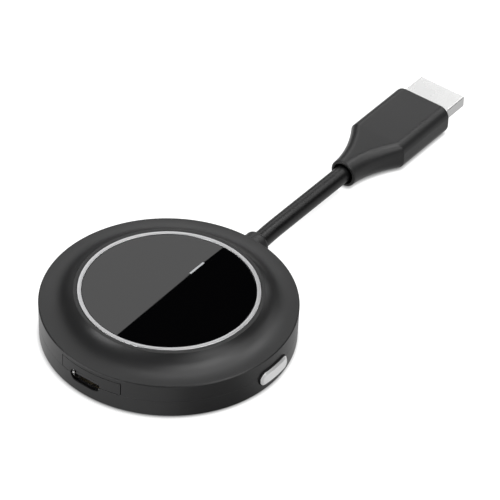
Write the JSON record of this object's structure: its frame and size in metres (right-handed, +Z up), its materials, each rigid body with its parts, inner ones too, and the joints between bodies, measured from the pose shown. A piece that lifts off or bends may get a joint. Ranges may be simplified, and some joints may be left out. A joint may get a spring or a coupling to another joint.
{
  "type": "wireless hdmi display adapter",
  "caption": "Flat round wireless display adapter with a glossy disc in a metal ring, a side push button, a USB-C power socket and a short attached lead ending in an HDMI plug",
  "frame": {"origin": "on the table, under the middle of the round puck", "axes": "+Z up through the puck, +Y towards the lead and its plug, -Y towards the USB-C socket, +X towards the side button"},
  "size_m": [0.0648, 0.1495, 0.0133],
  "materials": {
    "cover": "satin moulded black plastic",
    "grip": "matt moulded black plastic",
    "grommet": "satin black rubber",
    "jacket": "satin black cable jacket",
    "disc": "polished black acrylic",
    "ring": "satin silver",
    "button": "fine blasted silver",
    "plug_metal": "bright nickel plated",
    "steel": "tinned steel",
    "gold": "gold flashed",
    "light_guide": "frosted clear plastic",
    "tape": "white film",
    "board": "green solder mask",
    "chip": "black moulding",
    "ferrite": "grey ferrite",
    "ceramic": "tan ceramic",
    "thermal": "soft pad",
    "spreader": "stamped",
    "wire": "insulated wire",
    "foot": "soft matt rubber"
  },
  "bodies": {
    "root": {"top_cover": "cover", "bottom_cover": "cover", "port_panel": "cover", "trim_ring": "ring", "display_disc": "disc", "disc_tape": "tape", "light_pipe": "light_guide", "status_led": "light_guide", "button_switch": "chip", "main_board": "board", "usb_shell": "steel", "usb_tongue": "chip", "usb_contacts": "gold", "video_processor": "chip", "memory_chip": "chip", "flash_chip": "chip", "wifi_module": "steel", "antennas": "gold", "antenna_leads": "jacket", "crystal": "steel", "inductors": "ferrite", "capacitors": "ceramic", "thermal_pad": "thermal", "heat_spreader": "spreader", "cable_header": "tape", "cable_wires": "wire", "cable_tail": "jacket", "cable_clamp": "chip", "cable_grommet": "grommet", "hdmi_cable": "jacket", "plug_housing": "grip", "plug_shell": "plug_metal", "plug_insulator": "chip", "plug_contacts": "gold", "plug_board": "board", "plug_crimp": "steel", "plug_tail": "jacket", "cover_screws": "steel", "anti_slip_pad": "foot"},
    "button": {"side_button": "button"},
    "plunger": {"switch_plunger": "steel"}
  },
  "joints": [
    {"name": "button_press", "type": "slide", "parent": "root", "child": "button", "axis": [-1, 0, 0], "range_m": [0, 0.0004], "stiffness_N_per_m": 800},
    {"name": "plunger_press", "type": "slide", "parent": "root", "child": "plunger", "axis": [-1, 0, 0], "range_m": [0, 0.0004]}
  ],
  "couplings": [
    {"joint": "plunger_press", "follows": "button_press", "ratio": 1}
  ]
}
